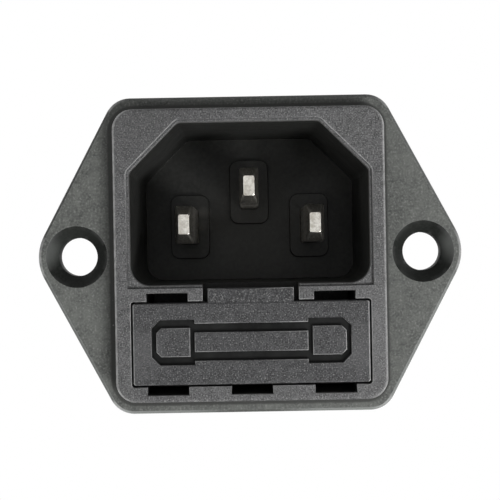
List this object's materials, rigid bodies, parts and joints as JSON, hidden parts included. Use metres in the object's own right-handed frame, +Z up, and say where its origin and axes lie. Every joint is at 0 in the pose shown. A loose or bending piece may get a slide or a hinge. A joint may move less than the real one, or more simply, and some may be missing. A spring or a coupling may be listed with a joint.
{
  "type": "fused c14 panel inlet socket",
  "caption": "Screw-mounted mains appliance inlet with an earthed recessed socket above a pull-out fuse drawer, in a black moulded housing.",
  "frame": {"origin": "midway between the two screw holes, on the flange face that seats on the panel", "axes": "+X to the right seen from the front, +Y back through the panel, +Z up with the earth pin above the other two; the socket faces -Y"},
  "size_m": [0.044, 0.0314, 0.0328],
  "materials": {
    "housing_nylon": "black nylon, fine spark-eroded texture",
    "cover_nylon": "black nylon, smooth matt",
    "drawer_nylon": "black nylon, fine texture with a smooth sunk symbol",
    "pin_nickel": "nickel-plated brass",
    "terminal_tin": "tinned brass strip",
    "spring_bronze": "phosphor bronze spring strip",
    "rivet_brass": "plain brass",
    "fuse_glass": "clear glass tube",
    "cap_nickel": "nickel-plated brass cap",
    "fuse_wire": "tinned fuse element"
  },
  "bodies": {
    "inlet": {"housing": "housing_nylon", "rear_cover": "cover_nylon", "line_pin": "pin_nickel", "neutral_pin": "pin_nickel", "earth_pin": "pin_nickel", "earth_terminal": "terminal_tin", "neutral_terminal": "terminal_tin", "load_terminal": "terminal_tin", "line_feed_strap": "terminal_tin", "fuse_spring_right": "spring_bronze", "fuse_spring_left": "spring_bronze", "spring_rivet_right": "rivet_brass", "spring_rivet_left": "rivet_brass"},
    "drawer": {"fuse_drawer": "drawer_nylon", "fuse_tube": "fuse_glass", "fuse_cap_left": "cap_nickel", "fuse_cap_right": "cap_nickel", "fuse_wire": "fuse_wire", "spare_fuse_tube": "fuse_glass", "spare_fuse_cap_left": "cap_nickel", "spare_fuse_cap_right": "cap_nickel", "spare_fuse_wire": "fuse_wire"}
  },
  "joints": [
    {"name": "drawer_slide", "type": "slide", "parent": "inlet", "child": "drawer", "axis": [0, -1, 0], "range_m": [0, 0.02]}
  ]
}
